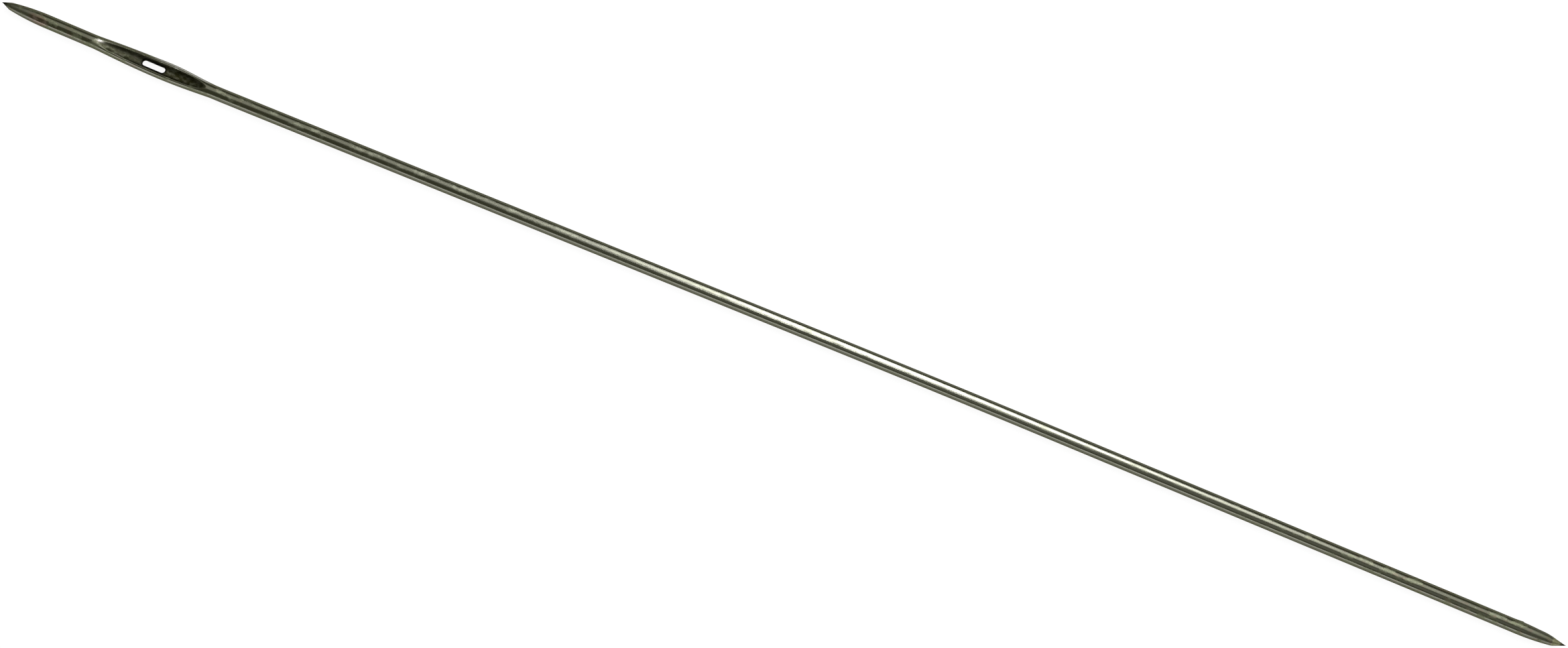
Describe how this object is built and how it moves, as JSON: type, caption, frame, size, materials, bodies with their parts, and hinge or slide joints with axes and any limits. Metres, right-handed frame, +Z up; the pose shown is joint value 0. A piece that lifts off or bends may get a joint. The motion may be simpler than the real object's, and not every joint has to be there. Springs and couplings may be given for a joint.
{
  "type": "hand sewing needle",
  "caption": "Long straight steel needle with a point at both ends and a slotted thread eye in a grooved, swollen part near one end.",
  "frame": {"origin": "middle of the needle's outline in plan, on the surface that it lies on", "axes": "+X along the needle towards the far point, so the eye end is at -X; +Y sideways; +Z up, through the eye"},
  "size_m": [0.254, 0.003, 0.0021],
  "materials": {
    "steel": "drawn steel, tarnished to a dark olive grey, semi-bright, with fine lengthwise draw marks"
  },
  "bodies": {
    "root": {"needle": "steel"}
  },
  "joints": []
}
